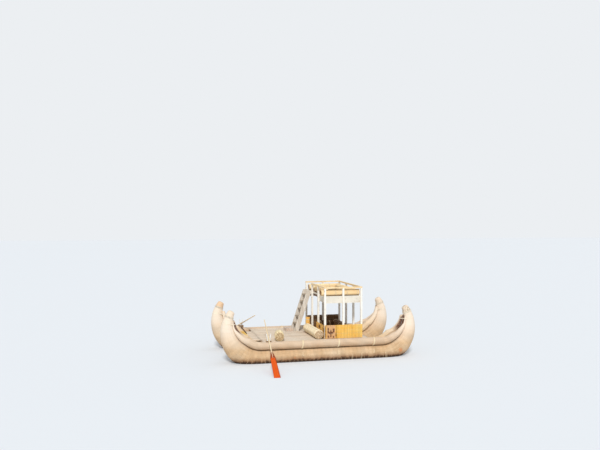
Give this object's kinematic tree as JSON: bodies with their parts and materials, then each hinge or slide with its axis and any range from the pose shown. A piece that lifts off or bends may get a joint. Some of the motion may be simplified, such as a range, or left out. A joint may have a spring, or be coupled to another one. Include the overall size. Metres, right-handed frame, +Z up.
{
  "type": "reed boat",
  "caption": "Twin-hull reed boat with curled horns, reed deck, two-storey sitting platform, stair, stool bundle and oars in forked tholes.",
  "frame": {"origin": "amidships on the centre line, level with the bottom of both hulls", "axes": "+X towards the stern, +Y to starboard, +Z up; the bow points along -X"},
  "size_m": [7.5166, 8.4234, 2.94],
  "materials": {
    "hull_reeds": "dry totora reed, fine and fibrous, greyed by the sun",
    "deck_reeds": "worn reed matting, fine lengthwise stems",
    "golden_reeds": "newer golden reed stems with open cut ends",
    "golden_mat": "woven golden reed mat",
    "figured_mat": "woven mat with a plain dark brown pattern",
    "white_posts": "white-washed squared timber, slightly worn",
    "white_boards": "white-washed boards",
    "rail_wood": "pale weathered timber",
    "floor_wood": "brown shaded boards",
    "log_wood": "peeled round timber",
    "stair_wood": "grey weathered planks",
    "oar_wood": "pale peeled pole",
    "orange_paint": "orange paint, worn at the edges",
    "cord": "twisted grass cord"
  },
  "bodies": {
    "hull": {"aft_bench": "golden_reeds", "aft_board": "white_boards", "aft_posts": "white_posts", "aft_upper_roll": "golden_reeds", "bow_mat": "golden_mat", "cross_logs": "log_wood", "deck": "deck_reeds", "end_bundle": "golden_reeds", "fore_bench": "golden_reeds", "fore_board": "white_boards", "fore_mat_panel": "golden_mat", "fore_pole": "log_wood", "fore_posts": "white_posts", "fore_upper_roll": "golden_reeds", "horn_bands": "cord", "joists": "floor_wood", "port_bench": "golden_reeds", "port_gunwale_ties": "cord", "port_hull_bundle": "hull_reeds", "port_inner_roll": "hull_reeds", "port_mat_panel": "golden_mat", "port_motif_panel": "figured_mat", "port_outer_roll": "hull_reeds", "port_posts": "white_posts", "port_side_board": "white_boards", "port_thole_block": "log_wood", "port_upper_roll": "golden_reeds", "stair_step": "stair_wood", "stair_strings": "stair_wood", "stair_treads": "stair_wood", "starboard_bench": "golden_reeds", "starboard_gunwale_ties": "white_boards", "starboard_hull_bundle": "hull_reeds", "starboard_inner_roll": "hull_reeds", "starboard_mat_panel": "golden_mat", "starboard_outer_roll": "hull_reeds", "starboard_posts": "white_posts", "starboard_side_board": "white_boards", "starboard_thole_block": "log_wood", "starboard_upper_roll": "golden_reeds", "stool_bundle": "golden_reeds", "top_rail": "rail_wood", "upper_floor": "floor_wood"},
    "port_rowlock": {"port_thole_fork": "white_posts"},
    "port_oar": {"port_oar_loom": "oar_wood", "port_oar_blade": "orange_paint", "port_oar_collar": "cord"},
    "starboard_rowlock": {"starboard_thole_fork": "white_posts"},
    "starboard_oar": {"starboard_oar_loom": "white_boards", "starboard_oar_blade": "white_boards", "starboard_oar_collar": "cord"}
  },
  "joints": [
    {"name": "port_oar_sweep", "type": "hinge", "parent": "hull", "child": "port_rowlock", "pos_m": [-2.0435, -1.77986, 1.16288], "axis": [0, 0, 1], "range_deg": [-20, 25]},
    {"name": "port_oar_dip", "type": "hinge", "parent": "port_rowlock", "child": "port_oar", "pos_m": [-2.0435, -1.77986, 1.16288], "axis": [-0.9972, 0.075, 0], "range_deg": [-5, 15]},
    {"name": "starboard_oar_sweep", "type": "hinge", "parent": "hull", "child": "starboard_rowlock", "pos_m": [-2.4935, 1.77986, 1.22535], "axis": [0, 0, 1], "range_deg": [-25, 20]},
    {"name": "starboard_oar_dip", "type": "hinge", "parent": "starboard_rowlock", "child": "starboard_oar", "pos_m": [-2.4935, 1.77986, 1.22535], "axis": [0.9673, 0.2538, 0], "range_deg": [-5, 15]}
  ]
}
